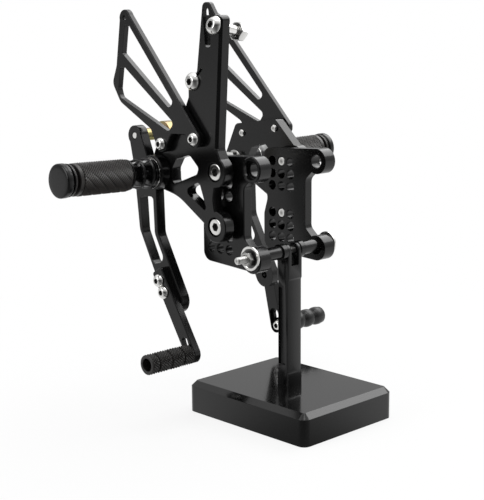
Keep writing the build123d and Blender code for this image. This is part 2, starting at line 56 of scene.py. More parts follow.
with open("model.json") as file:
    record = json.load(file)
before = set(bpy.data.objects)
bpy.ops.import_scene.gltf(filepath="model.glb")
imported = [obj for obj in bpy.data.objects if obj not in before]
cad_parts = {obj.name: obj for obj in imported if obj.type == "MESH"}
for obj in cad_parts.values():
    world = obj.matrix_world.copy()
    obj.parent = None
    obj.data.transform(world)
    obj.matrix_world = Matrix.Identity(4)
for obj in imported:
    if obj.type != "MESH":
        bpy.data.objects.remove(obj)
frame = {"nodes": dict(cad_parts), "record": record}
CAD_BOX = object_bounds()
MM = 0.001
# The two sides, and the sign of their x
SIDES = {"brake": -1, "gear": 1}
SLOT_OF = {row["node"]: row["material_slot"] for row in frame["record"]["subparts"]}
BODY_OF = {node: body for body, nodes in frame["record"]["behaviour"]["bodies"].items() for node in nodes}

# Corners merge within one distance and lie on a plane within the other, in metres
MERGE, TOUCH = 2e-6, 1e-6
# Edges sharper than this are rounded
SHARP = radians(30)
# Faces round a screw, nut or washer
FASTENER_STEPS = 48

# All lengths from here to the lights are in millimetres, and those across round pieces are radii.

# Footpeg: core inside the grip, journal inside the lever, flange and its width, and the stub's sunk root
PEG_CORE, JOURNAL = 7.5, 6.0
FLANGE, FLANGE_WIDTH = 12.5, 2.4
ROOT, ROOT_DEPTH = 11.4, 1.2
JOURNAL_EDGE, STUB_EDGE = 0.3, 0.25
# Footpeg stub between its flange and the grip: share of its length, and radius
STUB_PROFILE = (
    (0.0, 12.4), (0.09, 12.4), (0.11, 11.2), (0.4, 11.0), (0.415, 11.9), (0.465, 11.9), (0.48, 11.0),
    (0.85, 11.0), (0.865, 12.1), (0.93, 12.1), (0.945, 11.0), (1.0, 11.0),
)
# Grip's ridges: how many ridge widths apart they are cut across, and the share of a ridge that a cut leaves
GRIP_CUT, GRIP_LEFT = 4, 0.42
# Grip's inner end: how far its face starts below the greatest radius, and the face's swell
GRIP_FACE, GRIP_SWELL = 1.3, 0.04
# Grip's outer end beyond its knurl: distance, and fall from the greatest radius
GRIP_END = (
    (0.25, 1.0), (0.6, 0.5), (1.0, 0.3), (3.6, 0.3), (4.0, 0.6), (4.2, 1.2), (4.3, 3.6), (6.8, 3.6),
    (6.9, 0.9), (7.2, 0.3), (8.2, 0.3), (8.4, 0.5),
)
# End cap from the grip outwards: distance and radius
CAP_PROFILE = (
    (0.0, 12.6), (0.6, 12.6), (0.8, 12.3), (0.9, 10.6), (1.8, 10.6), (1.95, 11.8), (2.1, 12.5),
    (2.5, 12.9), (3.0, 13.0), (6.6, 13.0), (7.1, 12.8), (7.5, 12.3), (7.7, 11.4), (7.82, 9.0),
    (7.88, 6.0), (7.9, 2.0),
)

# Brake toe peg's collar from its inner end, and its lip back from its outer end: distance, and fall
# from the greatest radius
TOE_COLLAR = ((0.0, 0.7), (0.6, 0.6), (0.6, 1.3))
TOE_LIP = ((0.9, 1.3), (0.9, 0.35), (0.35, 0.35), (0.0, 0.8))
# Its bore, the bevel of the bore's mouth, its closed length and the drill's point
TOE_BORE, TOE_MOUTH, TOE_CLOSED, TOE_POINT = 5.0, 0.35, 12.0, 2.0
# Its knurled bands: inside and step at the ends; the grooves' first place, spacing, width and number
BAND_INSIDE, BAND_STEP = 6.2, 0.2
BAND_FIRST, BAND_SPACING, BAND_GAP, BAND_GROOVES = 9.2, 12.4, 1.6, 3
# Toe rubber: its bulges, and one bulge as shares of its length and of the greatest radius
RUBBER_BULGES = 4
RUBBER_BULGE = (
    (0.0, 0.68), (0.05, 0.72), (0.12, 0.8), (0.22, 0.88), (0.34, 0.925), (0.5, 0.94), (0.66, 0.925),
    (0.78, 0.88), (0.88, 0.8), (0.95, 0.72),
)
# Toe rubber's outer end: distance back from it, and share of the greatest radius
RUBBER_END = ((0.8, 0.86), (0.0, 0.78))

# Heads of the screws: radius, height, and the thread's radius
CYLINDER_HEAD, SMALL_HEAD = (7.0, 4.4, 3.9), (5.25, 3.3, 2.9)
LOW_HEAD, FLUSH_HEAD = (6.5, 5.0, 3.9), (5.0, 3.0, 2.9)
# Cylinder bolts: the upper hole's place from the lower one, and the gap under the drooping head
CYLINDER_STEP, CYLINDER_GAP = (-25.75, 42.85), 0.05
# Head outlines from the seat outwards: share of the height, and share of the radius
BUTTON = (
    (0.0, 0.93), (0.04, 0.98), (0.1, 1.0), (0.22, 0.99), (0.45, 0.93), (0.65, 0.84), (0.82, 0.74),
    (0.93, 0.66), (0.985, 0.6), (1.0, 0.55),
)
LOW_CAP = ((0.0, 0.96), (0.05, 1.0), (0.86, 1.0), (0.94, 0.975), (0.985, 0.93), (1.0, 0.88))
# A socket's depth, and the depth at which its painted shade is full, as shares of the head's height
SOCKET_DEPTH, SOCKET_DARK = 0.62, 0.6
# Threads: M8's radius, a groove's depth and half a crest as shares of the pitch, and the tip's chamfer
M8_THREAD = 4.0
THREAD_DEPTH, THREAD_CREST = 0.55, 0.12
TIP_CHAMFER = 0.8
# Lengths of the cylinder bolts' thread and of a thread that runs up to the head
SHORT_THREAD, WHOLE_THREAD = 6.0, 200.0
# Length of a thread's clean end; the rest is painted dark as shade
THREAD_SHOWN = 16.0
# Brake rod's bolt: thread, chamfer, head's height and edges, how far its tip is sunk, and faces round it
ROD_THREAD, ROD_CHAMFER, ROD_HEAD, ROD_EDGE, ROD_SUNK, ROD_STEPS = 2.9, 0.6, 4.0, 0.3, 0.3, 40
# Nuts: the thread's radius, and how dark the painted shade is at the outer end
NUTS = {"brake_cylinder_nuts": (4.0, 0.1), "stand_bolt_nut": (3.0, 0.5)}
# A nut's flat end and its barrel as shares of its half width and corners, and the lead into its thread
NUT_FLAT, NUT_CLEAR, NUT_LEAD = 0.97, 1.01, 0.6
# Washers: the hole's radius, and the step on the outer face as shares of the washer's radius
WASHERS = {"stand_bolt_washers": 3.2, "brake_peg_washer": 4.2, "gear_peg_washer": 4.2}
WASHER_STEP = (0.77, 0.81)
# How dark the painted shade on steel is in a tip's middle, on a thread past its clean end, towards a nut's
# seat and inside a washer's step
TIP_SHADE, THREAD_SHADE, SEAT_SHADE, WASHER_SHADE = 0.75, 0.9, 0.2, 0.95

# The post: scoops, grooves, fork, the bolt's hole, its rounded edges, and how far a cutter overshoots
SCOOP_LOW, SCOOP_HIGH, SCOOP_RUN, SCOOP_DEPTH = 35.0, 111.0, 1.6, 0.8
GROOVE_Y, GROOVE_Z, GROOVE_DEPTH = (-2.2, 4.8), (42.0, 104.0), 2.0
FORK_WIDTH, FORK_DEPTH = 8.0, 11.0
POST_HOLE, POST_EDGE, OVERSHOOT = 3.2, 0.35, 1.0
# Steps of the post's round top and of a scoop's run
POST_STEPS, SCOOP_STEPS = 16, 4

# Height of the camera's frame, in millimetres
CAMERA_FRAME = 24.0
# Lights, in metres: place, and width and height
LIGHTS = {
    "key_light": ((1.115, 0.0, 1.2), (1.9, 0.9)),
    "fill_light": ((-1.5, 0.55, 0.75), (1.0, 1.0)),
    "top_light": ((0.0, -0.1, 1.5), (1.0, 1.0)),
}
# Floor, in metres: its size, its drop under the stand, and where its shadow fades and over what run
FLOOR_SIZE, FLOOR_DROP = 12.0, 0.2 * MM
SHADOW_NEAR, SHADOW_RUN = 0.1, 0.4
# Floor's own shade, and the share of it that the camera sees near the stand
FLOOR_SHADE, SHADOW_SHARE = 0.86, 0.16
# Reflected light: level and lean to the right, on the floor and round the sky, and what the front loses
FLOOR_GLOW, SKY_GLOW, FRONT_LOSS = (0.85, 0.1), (0.5, 0.15), 0.93
# Sky: its level on the pieces, and the reflected dome's foot, rise and level
SKY_LEVEL = 0.55
DOME_FOOT, DOME_RISE, DOME_LEVEL = 0.25, 0.5, 0.65


class Wire:
    """One output socket of a material's nodes, with arithmetic that adds Math nodes."""

    def __init__(self, tree, socket=None):
        self.tree = tree
        self.socket = socket

    def node(self, kind, settings=None, sockets=None, output=0):
        """Adds a node: its settings are made first, then its sockets take values or links."""
        made = self.tree.nodes.new(kind)
        for name, value in (settings or {}).items():
            setattr(made, name, value)
        for name, value in (sockets or {}).items():
            if isinstance(value, Wire):
                self.tree.links.new(value.socket, made.inputs[name])
            else:
                made.inputs[name].default_value = value
        return Wire(self.tree, made.outputs[output] if made.outputs else None)

    def math(self, operation, *values, clamp=False):
        """Adds a Math node on wires or numbers."""
        settings = {"operation": operation, "use_clamp": clamp}
        return self.node("ShaderNodeMath", settings, dict(enumerate(values)))

    def __add__(self, other):
        return self.math("ADD", self, other)

    __radd__ = __add__

    def __sub__(self, other):
        return self.math("SUBTRACT", self, other)

    def __rsub__(self, other):
        return self.math("SUBTRACT", other, self)

    def __mul__(self, other):
        return self.math("MULTIPLY", self, other)

    __rmul__ = __mul__

    def __truediv__(self, other):
        return self.math("DIVIDE", self, other)

    def clamp(self):
        """This value, kept from 0 to 1."""
        return self.math("ADD", self, 0.0, clamp=True)

    def tint(self, low, high):
        """A colour between two others, by this value from 0 to 1; the low one may be a wire."""
        # A colour Mix node takes its factor and colours at 0, 6 and 7, and gives its colour at 2.
        sockets = {0: self, 6: low if isinstance(low, Wire) else (*low, 1.0), 7: (*high, 1.0)}
        return self.node("ShaderNodeMix", {"data_type": "RGBA"}, sockets, output=2)


def sized(name, description, millimetres):
    """A length that the panel shows."""
    return FloatProperty(
        name=name, description=description, default=millimetres * MM, unit="LENGTH", precision=5)


def angled(name, description, degrees):
    """An angle that the panel shows."""
    return FloatProperty(name=name, description=description, default=radians(degrees), subtype="ANGLE")


def powered(name, description, watts):
    """A light's power that the panel shows."""
    return FloatProperty(name=name, description=description, default=watts, unit="POWER")


def coloured(name, description, *channels):
    """A colour that the panel shows."""
    return FloatVectorProperty(
        name=name, description=description, default=channels, size=3, subtype="COLOR")


class RearSetPegs(bpy.types.PropertyGroup):
    """Sizes of the knurled and turned pieces."""
    knurl_pitch: sized("Grip knurl pitch", "Distance along a footpeg between the ridges of its knurl", 2.3)
    knurl_depth: sized("Grip knurl depth", "Height of the ridges of the footpegs' knurl", 0.8)
    toe_knurl_pitch: sized("Toe knurl pitch", "Distance along the toe peg between its knurl's points", 2.4)
    toe_knurl_depth: sized("Toe knurl depth", "Height of the points of the toe peg's knurl", 1.0)
    brake_cant: angled("Brake peg cant", "How far the brake side's footpeg tilts up", 1.5)
    gear_cant: angled("Gear peg cant", "How far the gear side's footpeg tilts up", 0.5)
    ring: sized("Grip end", "Length of the smooth band, groove and ring at each grip's outer end", 8.4)
    steps: IntProperty(
        name="Turning steps", description="Faces round each turned piece", default=64, min=16)


class RearSetFasteners(bpy.types.PropertyGroup):
    """Sizes of the screws, bolts and nuts."""
    thread_pitch: sized("Thread pitch", "Pitch of an M8 thread; others are in proportion", 1.25)
    nut_chamfer: sized("Nut chamfer", "Fall of a nut's chamfer at its corners", 0.9)
    droop: angled("Cylinder bolt droop", "How far the loose upper cylinder bolt hangs down", 11.4)
    edge: sized("Edge rounding", "Rounding of the washers' edges, and depth of their step", 0.25)


class RearSetFinishes(bpy.types.PropertyGroup):
    """Colours of the finishes."""
    anodised: coloured("Black anodising", "Colour of the machined plates", 0.0016, 0.0016, 0.0017)
    knurl: coloured("Knurled black", "Colour of the knurled grips", 0.016, 0.0135, 0.012)
    paint: coloured("Base paint", "Colour of the stand's base", 0.0016, 0.0016, 0.0016)
    rubber: coloured("Rubber", "Colour of the gear lever's toe rubber", 0.012, 0.012, 0.012)
    steel: coloured("Stainless steel", "Colour of the screws, bolts and washers", 0.9, 0.895, 0.875)
    zinc: coloured("Yellow zinc", "Colour of the rod end's plating", 0.38, 0.32, 0.17)
    bronze: coloured("Bronze", "Colour of the lever bushes", 0.55, 0.36, 0.16)


class RearSetStage(bpy.types.PropertyGroup):
    """Camera and light."""
    place: FloatVectorProperty(
        name="Camera place", description="Where the camera stands", subtype="TRANSLATION",
        size=3, default=(-0.68219, -0.65276, 0.31859))
    heading: angled("Heading", "Camera's direction, from X towards Y", 45.98)
    tilt: angled("Tilt", "How far the camera looks down", 11.13)
    roll: angled("Roll", "Camera's turn about its line of sight", -0.44)
    lens: FloatProperty(
        name="Lens", description="Focal length in millimetres, on a frame 24 mm high", default=59.43)
    key_power: powered("Key light", "Power of the large soft light", 13.0)
    fill_power: powered("Fill lights", "Power of each light at the left and overhead", 7.0)


def begin(name, add, **size):
    """Adds a primitive with nothing else selected, and leaves it in edit mode."""
    bpy.ops.object.select_all(action="DESELECT")
    add(**size)
    piece = bpy.context.object
    piece.name = name
    bpy.ops.object.mode_set(mode="EDIT")
    return piece


def end():
    """Leaves edit mode."""
    bpy.ops.object.mode_set(mode="OBJECT")


def tidy():
    """Merges doubles and turns every face of the mesh in edit mode outwards."""
    bpy.ops.mesh.select_all(action="SELECT")
    bpy.ops.mesh.remove_doubles(threshold=MERGE)
    bpy.ops.mesh.normals_make_consistent(inside=False)


def activate(piece):
    """Selects a piece alone."""
    bpy.ops.object.select_all(action="DESELECT")
    piece.select_set(True)
    bpy.context.view_layer.objects.active = piece


def apply(piece, kind, **settings):
    """Adds one modifier to a piece and applies it."""
    activate(piece)
    modifier = piece.modifiers.new(kind, kind)
    for name, value in settings.items():
        setattr(modifier, name, value)
    bpy.ops.object.modifier_apply(modifier=modifier.name)


def round_edges(piece, width):
    """Rounds a piece's sharp edges."""
    apply(piece, "BEVEL", width=width, segments=2, limit_method="ANGLE", angle_limit=SHARP)


def shape_with(piece, tool, operation):
    """Cuts or limits a piece with another mesh, which is then removed."""
    apply(piece, "BOOLEAN", object=tool, operation=operation, solver="EXACT")
    bpy.data.objects.remove(tool)


def corners_of(points):
    """Lowest and highest corners of the box round some points."""
    return Vector(map(min, zip(*points))), Vector(map(max, zip(*points)))


def height_of(box):
    """A box's height, which is a round solid's width."""
    return box[1].z - box[0].z


def radius_at(place):
    """A corner's distance from the X axis."""
    return sqrt(place.y ** 2 + place.z ** 2)


def lathe(name, profile, steps):
    """Spins (along X, radius) corners, in metres, round the X axis into a closed solid."""
    piece = begin(name, bpy.ops.mesh.primitive_plane_add, size=MM)
    bpy.ops.mesh.merge(type="CENTER")
    along, radius = profile[0]
    bpy.ops.transform.translate(value=(along, 0, radius))
    for next_along, next_radius in profile[1:]:
        step = (next_along - along, 0, next_radius - radius)
        bpy.ops.mesh.extrude_vertices_move(TRANSFORM_OT_translate={"value": step})
        along, radius = next_along, next_radius
    bpy.ops.mesh.select_all(action="SELECT")
    bpy.ops.mesh.spin(steps=steps, angle=2 * pi, center=(0, 0, 0), axis=(1, 0, 0))
    tidy()
    end()
    return piece


def hex_bar(name, across, start, stop):
    """A hexagonal bar along X, its corners towards Y."""
    size = {"vertices": 6, "radius": across / sqrt(3), "depth": stop - start}
    piece = begin(name, bpy.ops.mesh.primitive_cylinder_add, **size)
    bpy.ops.transform.rotate(value=pi / 2, orient_axis="Y", center_override=(0, 0, 0))
    bpy.ops.transform.translate(value=((start + stop) / 2, 0, 0))
    tidy()
    end()
    return piece


def cant(side):
    """The tilt of a side's footpeg about its flange."""
    sizes = bpy.context.scene.rearsets_pegs
    angle = {"brake": sizes.brake_cant, "gear": sizes.gear_cant}[side]
    face = SIDES[side] * reach(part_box(f"{side}_lever_shims"), side)[1]
    bend = Matrix.Translation((face, *centre(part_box(f"{side}_peg_bolt"))))
    return bend @ Matrix.Rotation(-SIDES[side] * angle, 4, "Y") @ bend.inverted()


def upright(node, side):
    """The box of a footpeg's CAD node with its cant taken out."""
    back = cant(side).inverted()
    points = [back @ vertex.co for vertex in frame["nodes"][node].data.vertices]
    return corners_of(points)


def settle(piece, node, finish, axis=None, side="gear", smooth=35, tilt=None):
    """Moves a piece from the X axis to its own, gives it a finish, and lets it stand for a CAD node."""
    # The finishes read each corner's distance from the piece's axis, in millimetres.
    rings = piece.data.attributes.new("ring", "FLOAT", "POINT")
    for vertex, ring in zip(piece.data.vertices, rings.data):
        ring.value = radius_at(vertex.co) / MM
    if axis is not None:
        turn = Matrix.Rotation(pi if SIDES[side] < 0 else 0, 4, "Z")
        piece.data.transform(Matrix.Translation((0, axis[0], axis[1])) @ turn)
    if tilt is not None:
        piece.data.transform(tilt)
    activate(piece)
    bpy.ops.object.shade_smooth_by_angle(angle=radians(smooth))
    piece.data.materials.clear()
    piece.data.materials.append(finish)
    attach(piece, BODY_OF[node])
    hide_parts(node)
    return piece


def solids(node):
    """Lowest and highest corners of each separate solid of a CAD node, found by shared corners."""
    mesh = frame["nodes"][node].data
    parent = {}

    def root(key):
        while parent.setdefault(key, key) != key:
            key = parent[key]
        return key

    for polygon in mesh.polygons:
        places = [mesh.vertices[number].co for number in polygon.vertices]
        keys = [tuple(round(value, 6) for value in place) for place in places]
        for key in keys[1:]:
            parent[root(key)] = root(keys[0])
    groups = {}
    for key in list(parent):
        groups.setdefault(root(key), []).append(key)
    boxes = [corners_of(points) for points in groups.values()]
    return sorted(boxes, key=lambda box: tuple(round(value, 5) for value in box[0]))


def centre(box):
    """The (y, z) of a solid's axis along X."""
    middle = (box[0] + box[1]) / 2
    return middle.y, middle.z


def reach(box, side):
    """A solid's nearest and furthest distance from the mid plane, on its own side."""
    return sorted((SIDES[side] * box[0].x, SIDES[side] * box[1].x))


def droop(axis):
    """The fall of the upper cylinder bolt about the crown of its head."""
    angle = bpy.context.scene.rearsets_fasteners.droop
    radius, height = CYLINDER_HEAD[0] * MM, CYLINDER_HEAD[1] * MM
    lift = radius * sin(angle) - height * (1 - cos(angle)) + CYLINDER_GAP * MM
    crown = Matrix.Translation((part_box("brake_hanger")[0].x - height, *axis))
    return Matrix.Translation((-lift, 0, 0)) @ crown @ Matrix.Rotation(angle, 4, "Y") @ crown.inverted()


def placed(node):
    """Box, axis and tilt of each solid of a CAD node; the upper cylinder bolt hangs in its hole."""
    boxes = solids(node)
    if not node.startswith("brake_cylinder"):
        return [(box, centre(box), None) for box in boxes]
    lower = min(boxes, key=lambda box: box[0].z)
    axis = centre(lower)
    upper = (axis[0] + CYLINDER_STEP[0] * MM, axis[1] + CYLINDER_STEP[1] * MM)
    return [(lower, axis, None), (lower, upper, droop(upper))]


def bare_wires(owner):
    """The emptied nodes of a material or a world."""
    owner.use_nodes = True
    owner.node_tree.nodes.clear()
    return Wire(owner.node_tree)


def surface(name, constants, build):
    """A material whose shader takes fixed values and the wires that build returns."""
    material = bpy.data.materials.new(name)
    wires = bare_wires(material)
    shader = wires.node("ShaderNodeBsdfPrincipled", sockets={**constants, **build(wires)})
    wires.node("ShaderNodeOutputMaterial", sockets={"Surface": shader})
    return material


def grain(wires, scale, detail=3.0):
    """Noise over the object, as a value."""
    place = wires.node("ShaderNodeTexCoord", output="Object")
    return wires.node("ShaderNodeTexNoise", sockets={"Vector": place, "Scale": scale, "Detail": detail})


def attribute(wires, name):
    """A value that a piece's corners carry."""
    return wires.node("ShaderNodeAttribute", {"attribute_name": name}, output="Fac")


def edges(wires, radius):
    """A rounded normal, and a value that is 1 on the edges and 0 on the faces."""
    rounded = wires.node("ShaderNodeBevel", {"samples": 6}, {"Radius": radius})
    flat = wires.node("ShaderNodeNewGeometry", output="Normal")
    same = wires.node("ShaderNodeVectorMath", {"operation": "DOT_PRODUCT"}, {0: rounded, 1: flat}, output=1)
    gain = 6.0
    return rounded, ((1 - same) * gain).clamp()


def dent(wires, height, strength, distance, normal=None):
    """A bump for the Normal socket."""
    sockets = {"Height": height, "Strength": strength, "Distance": distance}
    if normal:
        sockets["Normal"] = normal
    return wires.node("ShaderNodeBump", sockets=sockets)


def lighter(colour, gain, lift=0.0):
    """A colour made lighter or darker."""
    return tuple(channel * gain + lift for channel in colour)


def anodised(name, colour, roughness, sheen):
    """Black anodised aluminium: satin, finely grained, a little paler at the edges, partly rubbed wear and
    partly a painted highlight.
    """

    def build(wires):
        rounded, edge_wear_and_highlight = edges(wires, radius=0.45 * MM)
        cloud = grain(wires, scale=35.0)
        fine = grain(wires, scale=2600.0, detail=2.0)
        # The edge mask lightens the colour: partly rubbed wear, partly a painted highlight on the chamfers.
        tone = (cloud * 0.7 + edge_wear_and_highlight * 0.5).clamp()
        return {
            "Base Color": tone.tint(lighter(colour, gain=0.7), lighter(colour, gain=1.5, lift=0.004)),
            "Roughness": roughness + cloud * 0.08 + fine * 0.04,
            "Normal": dent(wires, fine, strength=0.03, distance=0.01 * MM, normal=rounded),
        }

    return surface(name, {"Specular IOR Level": sheen}, build)


def knurled(name, colour, tip):
    """Knurled black aluminium: the crests, at the greatest radius, are paler and smoother, partly rubbed
    wear and partly a painted highlight, and the valleys are painted dark as shade.
    """
    # How deep the paler crest colour reaches, in millimetres
    crest_wear_and_highlight_depth = 0.35

    def build(wires):
        # Paler crests: partly rubbed wear, partly a painted highlight. The valleys below them get painted
        # shade.
        crest = ((attribute(wires, "ring") - (tip / MM - crest_wear_and_highlight_depth)) / crest_wear_and_highlight_depth).clamp()
        fine = grain(wires, scale=1800.0, detail=2.0)
        dirt = grain(wires, scale=90.0)
        tone = (crest * 0.75 + dirt * 0.25).clamp()
        return {
            "Base Color": tone.tint(lighter(colour, gain=0.08), lighter(colour, gain=4.2)),
            "Roughness": 0.42 - crest * 0.2,
            "Normal": dent(wires, fine, strength=0.12, distance=0.03 * MM),
        }

    return surface(name, {"Specular IOR Level": 0.6}, build)


def turned_metal(name, colour, roughness, metallic, mark):
    """Turned metal: fine rings round the axis, small stains, and painted shade, read from a corner
    attribute, in sockets and other hollows.
    """
    # Colour of the painted shade
    painted_shade_colour = (0.01, 0.01, 0.01)

    def build(wires):
        lines = wires.node(
            "ShaderNodeTexNoise", {"noise_dimensions": "1D"},
            {"W": attribute(wires, "ring"), "Scale": 14.0, "Detail": 2.0})
        rounded, edge_wear_and_highlight = edges(wires, radius=0.15 * MM)
        stain = grain(wires, scale=220.0)
        tone = (stain * 0.8 + lines * 0.2).clamp()
        painted_shade = attribute(wires, "painted_shade")
        clean = tone.tint(lighter(colour, gain=0.84), lighter(colour, gain=1.08))
        return {
            # Painted shade: the corner attribute blends the colour towards near black.
            "Base Color": (painted_shade * 0.93).tint(clean, painted_shade_colour),
            "Roughness": roughness + stain * 0.08 - edge_wear_and_highlight * 0.05 + painted_shade * 0.2,
            "Normal": dent(wires, lines, strength=mark, distance=0.012 * MM, normal=rounded),
        }

    return surface(name, {"Metallic": metallic}, build)


def plated(name, colour):
    """Yellow zinc plating: metal that drifts between a rose and a green tint."""
    red, green, blue = colour
    rose = (red, green * 0.78, blue * 0.9)
    leaf = (red * 0.92, green * 1.12, blue * 0.8)

    def build(wires):
        drift = grain(wires, scale=110.0, detail=4.0)
        fine = grain(wires, scale=1500.0, detail=2.0)
        return {
            "Base Color": (drift * 2.4 - 0.7).clamp().tint(rose, leaf),
            "Roughness": 0.2 + fine * 0.16,
            "Normal": dent(wires, fine, strength=0.1, distance=0.02 * MM),
        }

    return surface(name, {"Metallic": 1.0}, build)


def moulded(name, colour):
    """Moulded rubber: satin, pebbled, with a faint bloom."""

    def build(wires):
        bloom = grain(wires, scale=120.0)
        pebble = grain(wires, scale=1700.0)
        return {
            "Base Color": bloom.tint(lighter(colour, gain=0.7), lighter(colour, gain=1.5)),
            "Roughness": 0.26 + bloom * 0.14,
            "Normal": dent(wires, pebble, strength=0.25, distance=0.05 * MM),
        }

    return surface(name, {"Specular IOR Level": 0.4}, build)


def painted(name, colour):
    """Gloss paint on a heavy base: a little orange peel under a clear coat, with fine dust, and edges
    painted paler, partly wear and partly a painted highlight.
    """

    def build(wires):
        rounded, edge_wear_and_highlight = edges(wires, radius=0.35 * MM)
        peel = grain(wires, scale=420.0, detail=2.0)
        dust = grain(wires, scale=2200.0, detail=4.0)
        speck = ((dust - 0.66) * 9.0).clamp()
        # Dust specks lighten the colour, and so does the edge mask, which is partly wear and partly a
        # painted highlight.
        dust_and_edge_highlight = (speck * 0.4 + edge_wear_and_highlight * 0.3).clamp()
        return {
            "Base Color": dust_and_edge_highlight.tint(colour, lighter(colour, gain=3.0, lift=0.01)),
            "Roughness": 0.13 + speck * 0.2,
            "Normal": dent(wires, peel, strength=0.05, distance=0.05 * MM, normal=rounded),
        }

    return surface(name, {"Specular IOR Level": 0.45, "Coat Roughness": 0.05, "Coat Weight": 0.15}, build)


class REARSETS_OT_finishes(bpy.types.Operator):
    """Make the finishes, and give each CAD piece the finish of its material slot"""
    bl_idname = "rearsets.finishes"
    bl_label = "Finishes"

    def execute(self, context):
        colours = context.scene.rearsets_finishes
        by_slot = {
            "black_anodised": anodised("satin_black", colours.anodised, roughness=0.14, sheen=0.38),
            "stainless": turned_metal(
                "stainless_steel", colours.steel, roughness=0.1, metallic=1.0, mark=0.12),
            "rubber": moulded("toe_rubber", colours.rubber),
            "yellow_zinc": plated("yellow_zinc", colours.zinc),
            "bronze": turned_metal("bush_bronze", colours.bronze, roughness=0.3, metallic=1.0, mark=0.35),
            "base_black": painted("base_gloss", colours.paint),
        }
        turned_metal("turned_black", colours.anodised, roughness=0.1, metallic=0.0, mark=0.03)
        for node, piece in frame["nodes"].items():
            piece.data.materials.clear()
            piece.data.materials.append(by_slot[SLOT_OF[node]])
        return {"FINISHED"}


def roll_knurl(name, length, radius, pitch, depth, stretch, left):
    """A sleeve of slanting ridges round the X axis, open at both ends.

    The ridges are cut across at every stretch, given in ridge widths, and a cut leaves a share of them.
    """
    around = stretch * round(2 * pi * radius / pitch / stretch)
    rows = max(2, round(length / pitch))
    width, height = around * pitch, rows * pitch
    # A ridge is two cells wide, and the grid, turned by 45 degrees, covers the unrolled sleeve.
    cell = pitch / sqrt(8)
    count = 4 * (int((width + height) / pitch) // 2 + 2)
    grid = {"x_subdivisions": count, "y_subdivisions": count, "size": count * cell}
    piece = begin(name, bpy.ops.mesh.primitive_grid_add, **grid)
    mesh = bmesh.from_edit_mesh(piece.data)
    for corner in mesh.verts:
        along, across = round(corner.co.x / cell), round(corner.co.y / cell)
        corner.co.z = depth * (across % 2) * (1.0 if along % (2 * stretch) else left)
    bmesh.update_edit_mesh(piece.data)
    bpy.ops.transform.rotate(value=pi / 4, orient_axis="Z", center_override=(0, 0, 0))
    for axis, half in ((Vector((1, 0, 0)), width / 2), (Vector((0, 1, 0)), height / 2)):
        for way in (axis, -axis):
            bpy.ops.mesh.select_all(action="SELECT")
            bpy.ops.mesh.bisect(
                plane_co=way * half, plane_no=way, clear_outer=True, use_fill=False, threshold=TOUCH)
    end()
    for vertex in piece.data.vertices:
        turn = 2 * pi * vertex.co.x / width
        along = (vertex.co.y / height + 0.5) * length
        out = radius - depth + vertex.co.z
        vertex.co = (along, out * cos(turn), out * sin(turn))
    activate(piece)
    bpy.ops.object.mode_set(mode="EDIT")
    tidy()
    end()
    return piece


def draw_rim(piece, rim, profile):
    """Extrudes the open rim at a place along X through (along, radius) corners."""
    activate(piece)
    bpy.ops.object.mode_set(mode="EDIT")
    mesh = bmesh.from_edit_mesh(piece.data)
    for face in mesh.faces:
        face.select_set(False)
    for edge in mesh.edges:
        on_rim = all(abs(corner.co.x - rim) < TOUCH for corner in edge.verts)
        edge.select_set(on_rim and edge.is_boundary)
    bmesh.update_edit_mesh(piece.data)
    for along, radius in profile:
        bpy.ops.mesh.extrude_edges_move()
        mesh = bmesh.from_edit_mesh(piece.data)
        for corner in [corner for corner in mesh.verts if corner.select]:
            scale = radius / radius_at(corner.co)
            corner.co = (along, corner.co.y * scale, corner.co.z * scale)
        bmesh.update_edit_mesh(piece.data)
    tidy()
    end()


def join(pieces):
    """Joins pieces into the first one."""
    bpy.ops.object.select_all(action="DESELECT")
    for piece in pieces:
        piece.select_set(True)
    bpy.context.view_layer.objects.active = pieces[0]
    bpy.ops.object.join()
    return pieces[0]


class REARSETS_OT_grips(bpy.types.Operator):
    """Knurl the footpeg grips, with a flat face at one end and a smooth, grooved ring at the other"""
    bl_idname = "rearsets.grips"
    bl_label = "Knurled grips"

    def execute(self, context):
        sizes = context.scene.rearsets_pegs
        for side in SIDES:
            node = f"{side}_peg_grip"
            box = upright(node, side)
            start, stop = reach(box, side)
            radius = height_of(box) / 2
            bore, swell = PEG_CORE * MM, GRIP_SWELL * MM
            length = stop - start - sizes.ring
            piece = roll_knurl(
                f"{side}_grip", length, radius, sizes.knurl_pitch, sizes.knurl_depth, GRIP_CUT, GRIP_LEFT)
            draw_rim(piece, 0.0, [(-swell / 2, radius - GRIP_FACE * MM), (-swell, bore)])
            rims = [(length + along * MM, radius - fall * MM) for along, fall in GRIP_END]
            draw_rim(piece, length, rims + [(length + sizes.ring, bore), (-swell, bore)])
            piece.data.transform(Matrix.Translation((start, 0, 0)))
            finish = knurled(f"{side}_grip_black", context.scene.rearsets_finishes.knurl, radius)
            settle(piece, node, finish, centre(box), side, smooth=20, tilt=cant(side))
        return {"FINISHED"}


